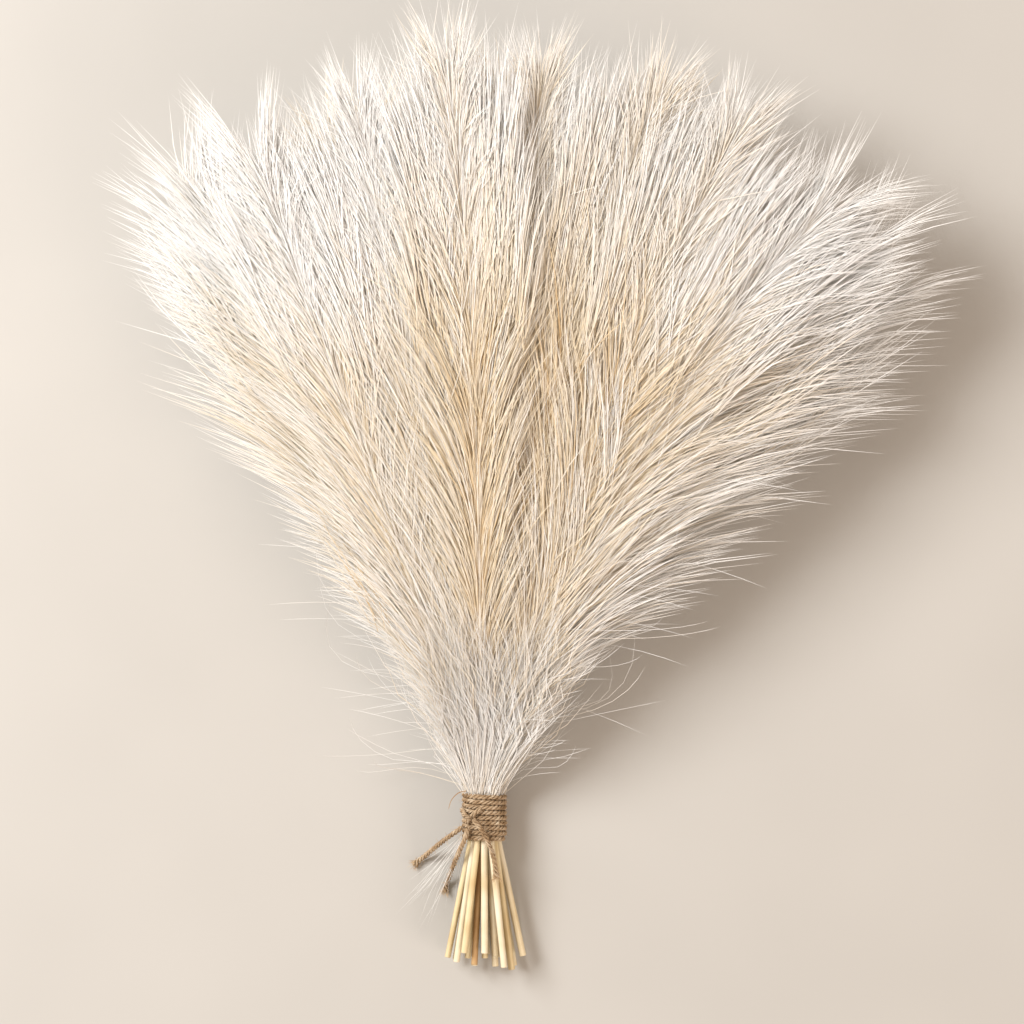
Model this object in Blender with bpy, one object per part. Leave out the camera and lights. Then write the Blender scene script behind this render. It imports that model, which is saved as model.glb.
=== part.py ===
"""A bundle of pampas grass, tied with jute twine and lying on its back.

Nineteen dried stalks are packed in a hexagon where the twine binds them. Below the
binding their cut stems splay out, and above it their plumes open into a flat fan of
three layers. +Y runs from the cut ends to the plumes' tips, +Z is up from the surface
that the bundle lies on, and the origin is on that surface, under the bundle's middle.
"""

import math
import random

import bmesh
import bpy
from mathutils import Vector

MM = 0.001
SEED = 7
GAP = 0.3 * MM

# The stems, and how they are packed in the binding: rows of a hexagon, lowest first.
STEM_RADIUS = 1.45 * MM
STEM_SIDES = 8
STEM_APOTHEM = STEM_RADIUS * math.cos(math.pi / STEM_SIDES)
STEM_PITCH = 3.2 * MM
ROW_COUNTS = (3, 4, 5, 4, 3)
MIDDLE_ROW = (len(ROW_COUNTS) - 1) / 2
ROW_RISE = STEM_PITCH * math.sin(math.radians(60))

# The cut ends: how far they are below the binding's middle, and how they splay.
CUT_END_Y = -66.5 * MM
CUT_END_SPREAD = 3.5 * MM
SIDE_SPLAY = 2.65
UPWARD_SPLAY = 1.45
FLAT_REST = 14 * MM

# The jute twine: one helix round the stems, a knot on top and three loose ends.
TWINE_RADIUS = 1.2 * MM
TWINE_SIDES = 8
TWINE_PITCH = 2.6 * MM
TWINE_TURNS = 7.75
TWINE_STEPS = 10
PACK_RADIUS = 2 * STEM_PITCH + STEM_RADIUS
WRAP_RADIUS = (PACK_RADIUS + GAP + TWINE_RADIUS) / math.cos(math.pi / TWINE_STEPS)
BINDING_HALF = TWINE_TURNS * TWINE_PITCH / 2 + TWINE_RADIUS
BINDING_HEIGHT = WRAP_RADIUS + TWINE_RADIUS + 1.1 * MM

# The knot's two strands: degrees round from the top, along the bundle, and how far
# the strand is lifted off the turns, all in mm but the first.
KNOT_STRANDS = (
    ((-64, 2.6, 0), (-54, 2.0, 0.5), (-44, 1.2, 1.5), (-33, 0.2, 2.1)),
    ((-12, 3.4, 0), (-23, 1.3, 0), (-34, -0.9, 0), (-44, -2.8, 0), (-52, -4.2, 0)),
)

# The loose ends, as routes in mm from the point under the binding's middle. Two droop
# to the surface, and one lies on the stems.
TAILS = {
    "left": (
        (-10.1, -4.8, 19.5),
        (-13.6, -7.4, 18.0),
        (-17.4, -10.3, 15.2),
        (-21.0, -13.4, 11.2),
        (-24.4, -16.4, 7.0),
        (-27.6, -19.2, 3.6),
        (-30.6, -21.8, 1.7),
        (-33.6, -24.3, 1.3),
    ),
    "down": (
        (-7.7, -5.0, 22.7),
        (-9.2, -10.5, 21.6),
        (-11.4, -15.5, 19.0),
        (-13.4, -20.5, 14.6),
        (-15.2, -25.5, 9.3),
        (-16.8, -30.0, 4.5),
        (-18.0, -33.6, 1.8),
        (-18.9, -37.0, 1.3),
    ),
    "right": (
        (-5.3, -0.7, 25.6),
        (-2.2, -4.3, 25.6),
        (0.4, -8.6, 25.0),
        (2.6, -13.4, 23.2),
        (4.3, -18.6, 21.3),
        (5.2, -23.6, 20.8),
        (5.6, -28.8, 20.8),
    ),
}
TAIL_STEP = 5 * MM

# The fan, layer by layer from the surface up and from left to right: each stalk's
# heading in degrees to the right of +Y, how many more degrees it curls by FAN_LENGTH,
# and how far its rachis runs, in mm, from the binding's top.
FAN = {
    "under": (
        (-26.5, -4, 304),
        (-18.5, -2, 314),
        (-9.5, 0, 320),
        (0.5, 0, 322),
        (10.5, 4, 320),
        (21, 10, 316),
        (35, 20, 292),
    ),
    "middle": (
        (-24.5, -2, 308),
        (-13.5, 0, 316),
        (1.5, 0, 322),
        (13.5, 8, 318),
        (29.5, 24, 306),
    ),
    "upper": (
        (-19.5, -1, 319),
        (-9.5, -3, 321),
        (0, -10, 335),
        (4.5, 1, 331),
        (10, 16, 322),
        (17.5, 14, 331),
        (22.5, 34, 314),
    ),
}
LAYER_ROWS = {"under": (0, 1), "middle": (2,), "upper": (3, 4)}
LAYER_HEIGHT = {"under": 18 * MM, "middle": 42 * MM, "upper": 66 * MM}
LAYER_HEADROOM = 22 * MM
FAN_RAMP = 34 * MM
FAN_LENGTH = 370 * MM
HEIGHT_RAMP = 15 * MM
HEIGHT_SPAN = 70 * MM
ROW_MERGE = 78 * MM
WALK_STEP = 2 * MM

# The plumes: locks of fine branches that stand out of the rachis on every side.
LOCK_COUNT = {"under": 20, "middle": 18, "upper": 27}
OUTER_PLUME_START = 9 * MM
INNER_PLUME_START = 34 * MM
PLUME_GAP = 0.45 * MM
RACHIS_TIP_RADIUS = 0.8 * MM
RACHIS_SIDES = 4
RACHIS_RINGS = (0, 0.015, 0.05, 0.1, 0.17, 0.27, 0.39, 0.51, 0.63, 0.75, 0.87, 1)
LOCK_LENGTH = 80 * MM
LOCK_ROOT_SIZE = 0.75 * MM
LOCK_WIDTH = 2.5 * MM
LOCK_THICKNESS = 1.5 * MM
LOCK_BELLY = 0.42
LOCK_DIVERGENCE = math.radians(35)
GOLDEN_ANGLE = math.pi * (3 - math.sqrt(5))
OPEN_SIDE = 60 * MM
CELL_MARGIN = 0.6 * MM
LEAST_ROOM = 2.2 * MM


def smooth(x):
    """0 below 0, 1 above 1, and an even S between."""
    x = min(1.0, max(0.0, x))
    return x * x * (3 - 2 * x)


def new_collection(name):
    collection = bpy.data.collections.new(name)
    bpy.context.scene.collection.children.link(collection)
    return collection


def material(name, colour, roughness):
    made = bpy.data.materials.new(name)
    made.use_nodes = True
    shader = made.node_tree.nodes["Principled BSDF"]
    shader.inputs["Base Color"].default_value = (*colour, 1)
    shader.inputs["Roughness"].default_value = roughness
    return made


def tube(name, points, radii, sides, collection, finish):
    """A round bar along points, with a radius at each and a flat side underneath."""
    curve = bpy.data.curves.new(name, "CURVE")
    curve.dimensions = "3D"
    curve.bevel_depth = 1.0
    curve.bevel_resolution = (sides - 4) // 2
    curve.use_fill_caps = True
    spline = curve.splines.new("POLY")
    spline.points.add(len(points) - 1)
    for place, point, radius in zip(spline.points, points, radii):
        place.co = (*point, 1)
        place.radius = radius
        place.tilt = math.pi / sides
    guide = bpy.data.objects.new(name + "_guide", curve)
    bpy.context.scene.collection.objects.link(guide)
    mesh = evaluated_mesh(guide, name)
    bpy.data.objects.remove(guide)
    mesh.materials.clear()
    mesh.materials.append(finish)
    weld = bmesh.new()
    weld.from_mesh(mesh)
    bmesh.ops.remove_doubles(weld, verts=weld.verts, dist=0.01 * MM)
    weld.to_mesh(mesh)
    weld.free()
    mesh.shade_smooth()
    made = bpy.data.objects.new(name, mesh)
    collection.objects.link(made)
    return made


def evaluated_mesh(obj, name):
    bpy.context.view_layer.update()
    graph = bpy.context.evaluated_depsgraph_get()
    mesh = bpy.data.meshes.new_from_object(obj.evaluated_get(graph))
    mesh.name = name
    return mesh


def join_all(core, extras):
    """Fuses a collection's objects to core, and removes the collection."""
    union = core.modifiers.new("union", "BOOLEAN")
    union.operation = "UNION"
    union.operand_type = "COLLECTION"
    union.collection = extras
    union.solver = "MANIFOLD"
    joined = evaluated_mesh(core, core.name)
    core.modifiers.clear()
    core.data = joined
    for extra in list(extras.objects):
        bpy.data.objects.remove(extra)
    bpy.data.collections.remove(extras)


def row_height(row):
    """The height of a row of stems where the binding holds them."""
    return BINDING_HEIGHT + (row - MIDDLE_ROW) * ROW_RISE


def layer_seat(layer):
    """The mean height, in the binding, of the rows that open into a layer."""
    rows = LAYER_ROWS[layer]
    return sum(row_height(row) for row in rows) / len(rows)


def layer_height(layer, s):
    """A layer's height: layers part soon after the binding, then run level."""
    start = layer_seat(layer)
    ramp = 1 - math.exp(-s * s / (s + HEIGHT_RAMP) / HEIGHT_SPAN)
    return start + (LAYER_HEIGHT[layer] - start) * ramp


class Stalk:
    """One stalk: its seat in the binding, its layer, and its path through the fan."""

    def __init__(self, layer, number, side, rise, heading, curl, reach):
        self.layer = layer
        self.name = f"{layer}_{number}"
        self.side = side
        self.rise = rise
        self.heading = math.radians(heading)
        self.curl = math.radians(curl)
        self.reach = reach * MM
        self.neighbours = [None, None]
        self.steps = self.walk()

    def turn(self, s):
        """The heading at s: it opens out of the binding, then curls further."""
        return (self.heading + self.curl * (s / FAN_LENGTH) ** 2) * smooth(s / FAN_RAMP)

    def walk(self):
        """Points in plan at every step along the stalk, from the binding's top."""
        x, y = self.side, BINDING_HALF
        points = [(x, y)]
        for k in range(int(1.25 * FAN_LENGTH / WALK_STEP)):
            turn = self.turn((k + 0.5) * WALK_STEP)
            x += WALK_STEP * math.sin(turn)
            y += WALK_STEP * math.cos(turn)
            points.append((x, y))
        return points

    def plan(self, s):
        k = min(int(s / WALK_STEP), len(self.steps) - 2)
        f = s / WALK_STEP - k
        (x0, y0), (x1, y1) = self.steps[k], self.steps[k + 1]
        return x0 + (x1 - x0) * f, y0 + (y1 - y0) * f

    def height(self, s):
        """The layer's height, which the stalk's own row eases into."""
        row = (self.rise - layer_seat(self.layer)) * (1 - smooth(s / ROW_MERGE))
        return layer_height(self.layer, s) + row

    def point(self, s, across=0.0, up=0.0):
        """A point beside the stalk, across it in plan and above it."""
        x, y = self.plan(s)
        turn = self.turn(s)
        right, forward = math.cos(turn), math.sin(turn)
        return Vector((x + across * right, y - across * forward, self.height(s) + up))

    def side_room(self, s, which):
        """How far the plume may spread to its left (0) or right (1) at s."""
        other = self.neighbours[which]
        if other is None:
            return OPEN_SIDE
        (x0, y0), (x1, y1) = self.plan(s), other.plan(s)
        return math.hypot(x1 - x0, y1 - y0) / 2

    def rise_room(self, s, which):
        """How far the plume may spread below (0) or above (1) its own axis at s."""
        layers = list(FAN)
        other = layers.index(self.layer) + (1 if which else -1)
        here = self.height(s)
        if other < 0:
            return here
        if other == len(layers):
            return LAYER_HEADROOM
        between = (layer_height(self.layer, s) + layer_height(layers[other], s)) / 2
        return abs(between - here)

    def plume_start(self):
        """Plumes at a layer's edges start by the binding, the rest once clear of it."""
        return OUTER_PLUME_START if None in self.neighbours else INNER_PLUME_START


def make_stalks():
    """Seats each layer's stalks in its rows of the hexagon, sorted from left to right."""
    stalks = []
    for layer, rows in LAYER_ROWS.items():
        seats = []
        for row in rows:
            count = ROW_COUNTS[row]
            for k in range(count):
                seats.append(((k - (count - 1) / 2) * STEM_PITCH, row_height(row)))
        seats.sort()
        made = []
        for n, (seat, course) in enumerate(zip(seats, FAN[layer])):
            made.append(Stalk(layer, n + 1, *seat, *course))
        for left, right in zip(made, made[1:]):
            left.neighbours[1] = right
            right.neighbours[0] = left
        stalks += made
    return stalks


def make_stem(stalk, rng, collection, finish):
    """A cut stem, from its end below the binding to where its plume starts."""
    end = Vector(
        (
            stalk.side * SIDE_SPLAY,
            CUT_END_Y + rng.uniform(-1, 1) * CUT_END_SPREAD,
            STEM_APOTHEM + (stalk.rise - row_height(0)) * UPWARD_SPLAY,
        )
    )
    tie_low = Vector((stalk.side, -BINDING_HALF, stalk.rise))
    tie_high = Vector((stalk.side, BINDING_HALF, stalk.rise))
    flat = end.lerp(tie_low, FLAT_REST / (tie_low - end).length)
    flat.z = end.z
    top = stalk.plume_start() - PLUME_GAP
    steps = 2 if None in stalk.neighbours else 4
    above = [stalk.point(top * (k + 1) / steps) for k in range(steps)]
    points = [end, flat, tie_low, tie_high] + above
    radii = [STEM_RADIUS] * len(points)
    tube("stem_" + stalk.name, points, radii, STEM_SIDES, collection, finish)


def eased(wanted, room):
    """wanted, eased back so that it never reaches room."""
    return room * math.tanh(wanted / room)


def lock_path(stalk, s, around, length, divergence):
    """Root, belly and tip of a lock that leaves the rachis at s, kept in its own cell.

    Each is a point and the half width and half thickness there. It is None where the
    cell is too narrow for a lock.
    """
    path = []
    for share in (0.0, LOCK_BELLY, 1.0):
        out = length * share * math.sin(divergence)
        along = s + length * share * math.cos(divergence)
        across, up = out * math.cos(around), out * math.sin(around)
        side_room = stalk.side_room(along, int(across > 0)) - CELL_MARGIN
        rise_room = stalk.rise_room(along, int(up > 0)) - CELL_MARGIN
        if min(side_room, rise_room) < LEAST_ROOM:
            return None
        width = min(LOCK_WIDTH, 0.45 * side_room)
        thick = min(LOCK_THICKNESS, 0.45 * rise_room)
        if share == 0:
            width = thick = LOCK_ROOT_SIZE
        across = math.copysign(eased(abs(across), side_room - width), across)
        if up < 0 and stalk.layer == "under":
            up = max(up, 0.5 * thick - stalk.height(along))
        else:
            up = math.copysign(eased(abs(up), rise_room - thick), up)
        path.append((stalk.point(along, across, up), width, thick))
    return path


def make_lock(name, path, collection):
    """A three-sided blade, flat below, lofted from root to belly and on to a point."""
    (root, *_), (belly, *_), (tip, *_) = path
    corners = []
    for (centre, width, thick), heading in zip(path, (belly - root, tip - root)):
        side = Vector((0, 0, 1)).cross(heading).normalized()
        over = heading.cross(side).normalized()
        for k in range(3):
            angle = math.radians(90 + 120 * k)
            reach = side * math.cos(angle) * width + over * math.sin(angle) * thick
            corners.append(centre + reach)
    corners.append(tip)
    for corner in corners:
        corner.z = max(corner.z, 0)
    faces = [(0, 2, 1)]
    for k in range(3):
        after = (k + 1) % 3
        faces += [(k, after, after + 3), (k, after + 3, k + 3), (k + 3, after + 3, 6)]
    mesh = bpy.data.meshes.new(name)
    mesh.from_pydata(corners, [], faces)
    collection.objects.link(bpy.data.objects.new(name, mesh))


def make_plume(stalk, rng, collection, finish):
    """The rachis, and its locks spiralling round it from the stem's end to the tip."""
    name = "plume_" + stalk.name
    start = stalk.plume_start()
    length = stalk.reach - start
    points = [stalk.point(start + length * share) for share in RACHIS_RINGS]
    thinning = RACHIS_TIP_RADIUS - STEM_RADIUS
    radii = [STEM_RADIUS + thinning * share for share in RACHIS_RINGS]
    core = tube(name, points, radii, RACHIS_SIDES, collection, finish)
    locks = new_collection(name + "_locks")
    count = LOCK_COUNT[stalk.layer]
    around = rng.uniform(0, 2 * math.pi)
    for k in range(count):
        around += GOLDEN_ANGLE
        share = (k + 0.3) / count
        s = start + length * share
        youth = 0.5 + 0.5 * smooth(s / (120 * MM))
        taper = 1 - 0.4 * smooth((share - 0.6) / 0.4)
        lock = LOCK_LENGTH * youth * taper * rng.uniform(0.88, 1.1)
        divergence = LOCK_DIVERGENCE * (1 - 0.6 * smooth((share - 0.72) / 0.28))
        path = lock_path(stalk, s, around, lock, divergence)
        if path:
            make_lock(f"{name}_lock_{k}", path, locks)
    join_all(core, locks)


def round_binding(angle, y, radius):
    """A point round the binding: an angle from its top, a place along it, a radius."""
    return Vector((radius * math.sin(angle), y, BINDING_HEIGHT + radius * math.cos(angle)))


def make_binding(collection, finish):
    """The twine's turns round the stems, as one helix."""
    points = []
    for k in range(round(TWINE_TURNS * TWINE_STEPS) + 1):
        turns = k / TWINE_STEPS
        y = BINDING_HALF - TWINE_RADIUS - TWINE_PITCH * turns
        points.append(round_binding(2 * math.pi * turns, y, WRAP_RADIUS))
    radii = [TWINE_RADIUS] * len(points)
    tube("twine_binding", points, radii, TWINE_SIDES, collection, finish)


def make_knot(collection, finish):
    """Two strands that cross on the binding, fused where they grip each other."""
    level = WRAP_RADIUS + 2 * TWINE_RADIUS + GAP
    extras = new_collection("twine_knot_strands")
    made = []
    for strand, home in zip(KNOT_STRANDS, (collection, extras)):
        points = []
        for degrees, y, lift in strand:
            points.append(round_binding(math.radians(degrees), y * MM, level + lift * MM))
        radii = [TWINE_RADIUS] * len(points)
        made.append(tube("twine_knot", points, radii, TWINE_SIDES, home, finish))
    join_all(made[0], extras)


def smooth_route(route, step):
    """Points about a step apart on a Catmull-Rom curve through the route's points."""
    ends = [2 * route[0] - route[1], *route, 2 * route[-1] - route[-2]]
    points = [route[0]]
    for a, b, c, d in zip(ends, ends[1:], ends[2:], ends[3:]):
        pieces = max(1, round((c - b).length / step))
        for k in range(pieces):
            t = (k + 1) / pieces
            cubic = (3 * (b - c) + d - a) * t**3 + (2 * a - 5 * b + 4 * c - d) * t**2
            points.append(b + 0.5 * (cubic + (c - a) * t))
    return points


def make_tail(name, route, collection, finish):
    """A loose end of the twine, in one node of its own."""
    points = smooth_route([Vector(place) * MM for place in route], TAIL_STEP)
    radii = [TWINE_RADIUS] * len(points)
    tube("twine_tail_" + name, points, radii, TWINE_SIDES, collection, finish)


def centre_over_origin(collection):
    """Moves the bundle so that the middle of its box, without loose ends, is at X = Y = 0."""
    corners = []
    for obj in collection.objects:
        if "tail" not in obj.name:
            corners += [vertex.co for vertex in obj.data.vertices]
    for axis in (0, 1):
        places = [corner[axis] for corner in corners]
        middle = (min(places) + max(places)) / 2
        for obj in collection.objects:
            obj.location[axis] = -middle


def main():
    for obj in list(bpy.data.objects):
        bpy.data.objects.remove(obj)
    bundle = new_collection("pampas_grass_bundle")
    straw = material("dried_straw", (0.80, 0.70, 0.46), 0.45)
    cream = material("plume_cream", (0.86, 0.79, 0.65), 0.8)
    jute = material("jute_twine", (0.48, 0.34, 0.20), 0.9)
    rng = random.Random(SEED)
    for stalk in make_stalks():
        make_stem(stalk, rng, bundle, straw)
        make_plume(stalk, rng, bundle, cream)
    make_binding(bundle, jute)
    make_knot(bundle, jute)
    for name, route in TAILS.items():
        make_tail(name, route, bundle, jute)
    centre_over_origin(bundle)


main()
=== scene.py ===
# %% [markdown]
# # A bundle of pampas grass, tied with jute twine
#
# Nineteen dried stalks lie flat on a pale table. Jute twine binds their stems, which
# splay below it, and above it the plumes open into a fan. The solids of the CAD model
# are already in the frame, and this lesson dresses them: each plume becomes thousands of
# fine closed needles, the stems become straw, and the twine becomes real three-ply yarn.
# First the frame is loaded.

import bpy
import numpy as np
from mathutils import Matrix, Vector


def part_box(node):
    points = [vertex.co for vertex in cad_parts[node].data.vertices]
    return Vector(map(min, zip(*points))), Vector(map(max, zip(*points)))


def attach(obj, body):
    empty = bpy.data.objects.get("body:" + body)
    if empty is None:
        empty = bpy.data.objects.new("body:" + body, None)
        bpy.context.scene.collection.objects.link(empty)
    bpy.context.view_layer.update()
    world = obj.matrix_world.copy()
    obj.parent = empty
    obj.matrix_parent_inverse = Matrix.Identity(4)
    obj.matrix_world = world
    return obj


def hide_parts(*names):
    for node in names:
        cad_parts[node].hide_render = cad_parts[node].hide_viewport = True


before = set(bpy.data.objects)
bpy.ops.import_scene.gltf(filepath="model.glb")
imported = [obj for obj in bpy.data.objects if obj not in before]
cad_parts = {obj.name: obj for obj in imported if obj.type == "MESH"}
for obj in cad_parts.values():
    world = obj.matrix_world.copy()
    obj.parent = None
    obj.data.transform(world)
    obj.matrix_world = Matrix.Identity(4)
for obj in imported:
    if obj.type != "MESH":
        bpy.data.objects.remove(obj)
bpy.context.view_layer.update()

# %% [markdown]
# ## Where the bundle lies
#
# Everything is placed from the middle of the binding, which the frame gives. X runs
# across the bundle, Y from the cut ends to the tips, and Z up from the table. All sizes
# are metres, written as millimetres times MM.

# %% The middle of the binding
MM = 0.001
UP = np.array([0.0, 0.0, 1.0])


def node_box(node):
    """A node's lowest and highest corners, as an array."""
    return np.array([list(corner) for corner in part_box(node)])


tie_box = node_box("twine_binding")
tie = tie_box.mean(axis=0)
on_table = np.array([tie[0], tie[1], 0.0])
print("binding's middle in mm:", np.round(tie * 1000, 2).tolist())

# %% [markdown]
# ## The camera
#
# The bundle is seen as a flat lay, from straight above with the tips at the top of the
# picture. A long lens far away keeps the tall middle of the fan from looking swollen.

# %% Camera
CAMERA_HEIGHT = 1900 * MM
VIEW_WIDTH = 474 * MM
VIEW_LEVEL = 45 * MM
SENSOR = 36.0
view_middle = on_table + np.array([13.0, 143.0, 0.0]) * MM

camera_data = bpy.data.cameras.new("flat_lay_camera")
camera_data.sensor_width = SENSOR
camera_data.lens = SENSOR * (CAMERA_HEIGHT - VIEW_LEVEL) / VIEW_WIDTH
camera = bpy.data.objects.new("flat_lay_camera", camera_data)
camera.location = (view_middle[0], view_middle[1], CAMERA_HEIGHT)
bpy.context.scene.collection.objects.link(camera)
bpy.context.scene.camera = camera
print("lens:", round(camera_data.lens, 1), "mm")

# %% [markdown]
# ## Colours and nodes
#
# Blender's shaders work in linear light, so one function turns the usual hex values
# into it, and one small function adds a node with its settings and links.

# %% Colour and node helpers
def linear(code):
    """A hex colour as linear values: v / 12.92 when dark, else ((v + 0.055) / 1.055) ** 2.4."""
    values = np.array([int(code[k : k + 2], 16) / 255 for k in (1, 3, 5)])
    return np.where(values <= 0.04045, values / 12.92, ((values + 0.055) / 1.055) ** 2.4)


def add_node(tree, kind, sockets=None, **settings):
    """Adds a node; each socket gets a link if its value is a socket, or else a constant."""
    node = tree.nodes.new("ShaderNode" + kind)
    for name, value in settings.items():
        setattr(node, name, value)
    for name, value in (sockets or {}).items():
        if isinstance(value, bpy.types.NodeSocket):
            tree.links.new(value, node.inputs[name])
        else:
            node.inputs[name].default_value = value
    return node


def set_stops(ramp, stops):
    """Gives a colour ramp its stops, each a place and a hex colour."""
    elements = ramp.color_ramp.elements
    while len(elements) < len(stops):
        elements.new(0.5)
    for element, (place, code) in zip(elements, stops):
        element.position = place
        element.color = (*linear(code), 1)


def new_material(name, **constants):
    """A material with an empty Principled shader, whose constants are set by socket name."""
    material = bpy.data.materials.new(name)
    material.use_nodes = True
    shader = material.node_tree.nodes["Principled BSDF"]
    for socket, value in constants.items():
        shader.inputs[socket.replace("_", " ")].default_value = value
    return material, material.node_tree, shader


# %% [markdown]
# ## Meshes from arrays
#
# Thousands of hairs are only practical as whole arrays. A piece is a list of corners, a
# list of triangles and, for each triangle's corners, a place on its pattern map. The
# arrays go into the mesh in a few calls.

# %% Mesh helper
triangles_made = {}


def put_mesh(name, surface, finishes, pattern="OFBake", faces_of=None, rounded=True):
    """Makes an object of a surface, (corners, triangles, map places), with its finishes."""
    corners, triangles, places = surface
    mesh = bpy.data.meshes.new(name)
    mesh.vertices.add(len(corners))
    mesh.vertices.foreach_set("co", corners.astype(np.float32).ravel())
    mesh.loops.add(triangles.size)
    mesh.loops.foreach_set("vertex_index", triangles.astype(np.int32).ravel())
    mesh.polygons.add(len(triangles))
    mesh.polygons.foreach_set("loop_start", np.arange(0, triangles.size, 3, dtype=np.int32))
    layer = mesh.uv_layers.new(name=pattern)
    layer.uv.foreach_set("vector", places.astype(np.float32).ravel())
    for finish in finishes:
        mesh.materials.append(finish)
    if faces_of is not None:
        mesh.polygons.foreach_set("material_index", faces_of.astype(np.int32))
    mesh.update(calc_edges=True)
    if rounded:
        mesh.shade_smooth()
    else:
        mesh.shade_flat()
    made = bpy.data.objects.new(name, mesh)
    bpy.context.scene.collection.objects.link(made)
    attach(made, "root")
    triangles_made[name] = len(triangles)
    return made


def join(surfaces):
    """Several surfaces as one, each one's corner numbers moved past those before it."""
    corners, triangles, places = zip(*surfaces)
    first = np.cumsum([0] + [len(part) for part in corners[:-1]])
    moved = [part + start for part, start in zip(triangles, first)]
    return np.concatenate(corners), np.concatenate(moved), np.concatenate(places)


def unit(vectors):
    """Vectors made 1 long."""
    return vectors / np.maximum(np.linalg.norm(vectors, axis=-1, keepdims=True), 1e-12)


# %% [markdown]
# ## Two kinds of surface
#
# A stem, a rachis and each ply of the twine are rings carried along a path, from one
# closed end to the other. A hair is a needle: a few three-sided rings and a sharp tip.
# Three sides are enough, because a hair is at most half a millimetre wide.

# %% Paths and tubes
def path_of(points):
    """A path's points and how far along each one is."""
    run = np.linalg.norm(np.diff(points, axis=0), axis=1)
    return points, np.concatenate([[0.0], np.cumsum(run)])


def read_path(path, s, reference):
    """Points, headings and two directions across at the lengths s along a path.

    Past an end the path goes on straight. side = heading x reference, over = side x heading.
    """
    points, along = path
    headings = unit(np.gradient(points, along, axis=0))
    inside = np.clip(s, along[0], along[-1])
    at = np.stack([np.interp(inside, along, points[:, k]) for k in range(3)], axis=-1)
    heading = unit(np.stack([np.interp(inside, along, headings[:, k]) for k in range(3)], -1))
    at = at + heading * (s - inside)[:, None]
    side = unit(np.cross(heading, reference))
    return at, heading, side, np.cross(side, heading)


def tube(at, side, over, radii, sides, along):
    """A closed tube: ring i is at[i] + radii[i] (side cos a + over sin a), a round the ring.

    The map runs round the tube in the first direction and along it in the second, both
    in metres, so that a pattern on it keeps its real size. Each end closes on a point.
    """
    rings = len(at)
    angle = 2 * np.pi * np.arange(sides) / sides
    across = side[:, None] * np.cos(angle)[:, None] + over[:, None] * np.sin(angle)[:, None]
    corners = (at[:, None] + across * radii[:, None, None]).reshape(-1, 3)
    corners = np.concatenate([corners, at[:1], at[-1:]])
    ring, k = np.meshgrid(np.arange(rings - 1), np.arange(sides), indexing="ij")
    ring, k = ring.ravel(), k.ravel()
    after = (k + 1) % sides
    a, b = ring * sides + k, ring * sides + after
    c, d = a + sides, b + sides
    girth = 2 * np.pi * np.median(radii) / sides
    u, u_after = k * girth, (k + 1) * girth
    v, v_after = along[ring], along[ring + 1]
    first = np.stack([a, c, d], -1), np.stack([u, v, u, v_after, u_after, v_after], -1)
    second = np.stack([a, d, b], -1), np.stack([u, v, u_after, v_after, u_after, v], -1)
    k = np.arange(sides)
    after = (k + 1) % sides
    low, high = np.full(sides, rings * sides), np.full(sides, rings * sides + 1)
    top = (rings - 1) * sides
    u, u_after, half = k * girth, (k + 1) * girth, (k + 0.5) * girth
    v = np.full(sides, along[0])
    inner = v - radii[0]
    start = np.stack([low, k, after], -1), np.stack([half, inner, u, v, u_after, v], -1)
    v = np.full(sides, along[-1])
    outer = v + radii[-1]
    stop = (
        np.stack([high, top + after, top + k], -1),
        np.stack([half, outer, u_after, v, u, v], -1),
    )
    triangles = np.concatenate([part[0] for part in (first, second, start, stop)])
    places = np.concatenate([part[1] for part in (first, second, start, stop)])
    return corners, triangles, places.reshape(-1, 2)


# %% [markdown]
# On its map a needle is a narrow strip. Where the strip lies from left to right is the
# hair's tint, and how far up it a place lies is the share of the hair's length.

# %% Needles
RING_ANGLES = (270, 30, 150)
STRIP_HALF = 0.004
STRIP_FOOT = 0.01
STRIP_TOP = 0.94
STRIP_TIP = 0.97
MAP_MARGIN, MAP_WIDTH = 0.01, 0.98


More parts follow.
